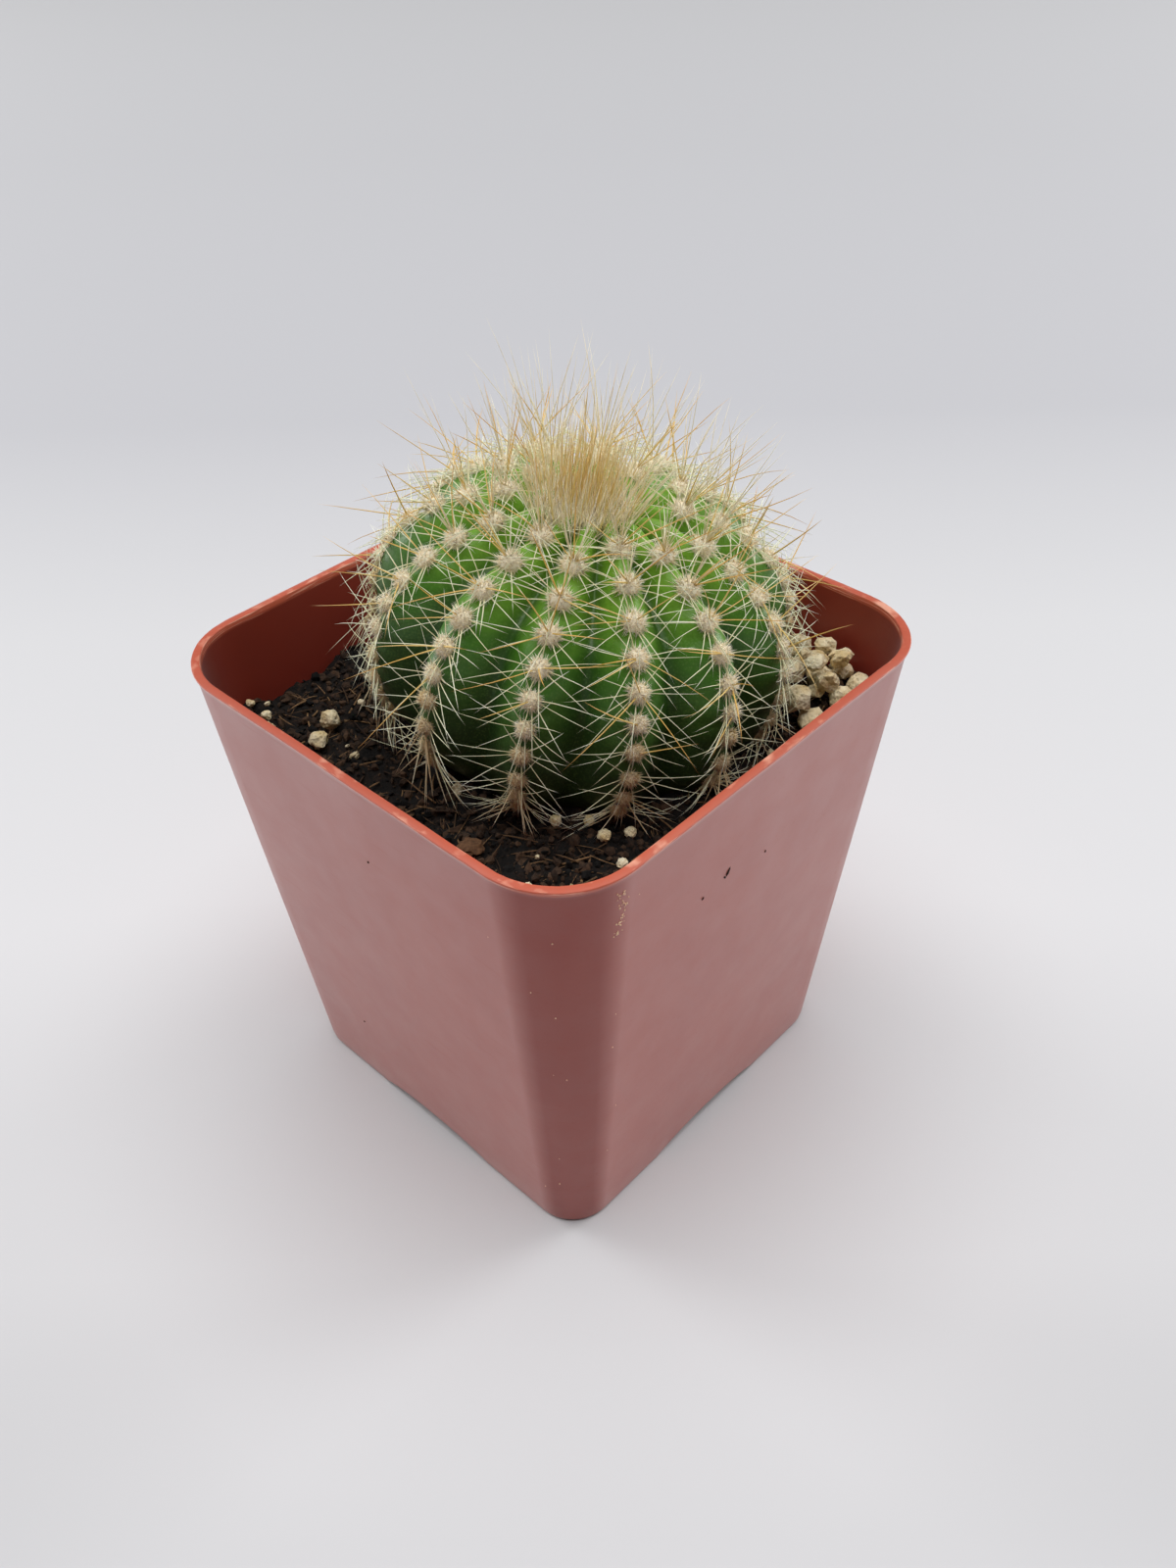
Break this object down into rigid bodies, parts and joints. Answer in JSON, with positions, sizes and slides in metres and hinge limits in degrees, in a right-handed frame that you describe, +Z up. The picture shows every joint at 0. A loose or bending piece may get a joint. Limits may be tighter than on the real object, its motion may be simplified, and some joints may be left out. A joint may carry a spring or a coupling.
{
  "type": "potted round cactus",
  "caption": "Globe-shaped ribbed cactus with radiating spines, standing in peat soil in a small square tapered plastic pot.",
  "frame": {"origin": "centre of the pot's base, on the surface that the pot stands on", "axes": "+Z up; the pot's four sides face along X and Y; the pile of pumice lies in the +X -Y corner"},
  "size_m": [0.064, 0.064, 0.0992],
  "materials": {
    "pot": "satin moulded polypropylene, terracotta",
    "soil": "loose damp peat mix",
    "plant": "waxy green skin with cream wool and pale spines",
    "stone": "rough porous pumice and perlite",
    "bark": "dark shredded bark"
  },
  "bodies": {
    "root": {"pot": "pot", "soil": "soil", "cactus": "plant", "pumice_1": "stone", "pumice_2": "stone", "pumice_3": "stone", "pumice_4": "stone", "pumice_5": "stone", "pumice_6": "stone", "pumice_7": "stone", "pumice_8": "stone", "pumice_9": "stone", "perlite_1": "stone", "perlite_2": "stone", "perlite_3": "stone", "perlite_4": "stone", "perlite_5": "stone", "bark_1": "bark", "bark_2": "bark", "bark_3": "bark", "bark_4": "bark"}
  },
  "joints": []
}
